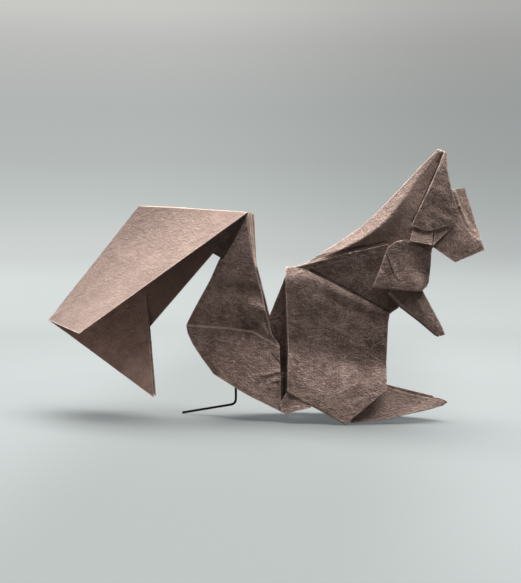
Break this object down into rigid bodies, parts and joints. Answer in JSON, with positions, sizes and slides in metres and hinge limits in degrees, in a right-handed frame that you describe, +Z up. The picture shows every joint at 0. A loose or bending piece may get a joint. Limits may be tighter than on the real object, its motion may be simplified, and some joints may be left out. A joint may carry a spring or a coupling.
{
  "type": "origami squirrel",
  "caption": "Folded paper squirrel with pointed ears, broad haunches and a wide hooded tail, propped behind by a thin bent wire.",
  "frame": {"origin": "under the middle of the whole figure, on the surface it stands on", "axes": "+X the way the squirrel looks, +Y its far side with the head to the right, +Z up"},
  "size_m": [0.1329, 0.0263, 0.08],
  "materials": {
    "paper": "matt, fibrous handmade paper, warm grey brown",
    "wire": "black, satin"
  },
  "bodies": {
    "root": {"folded_sheet": "paper", "support_wire": "wire"}
  },
  "joints": []
}
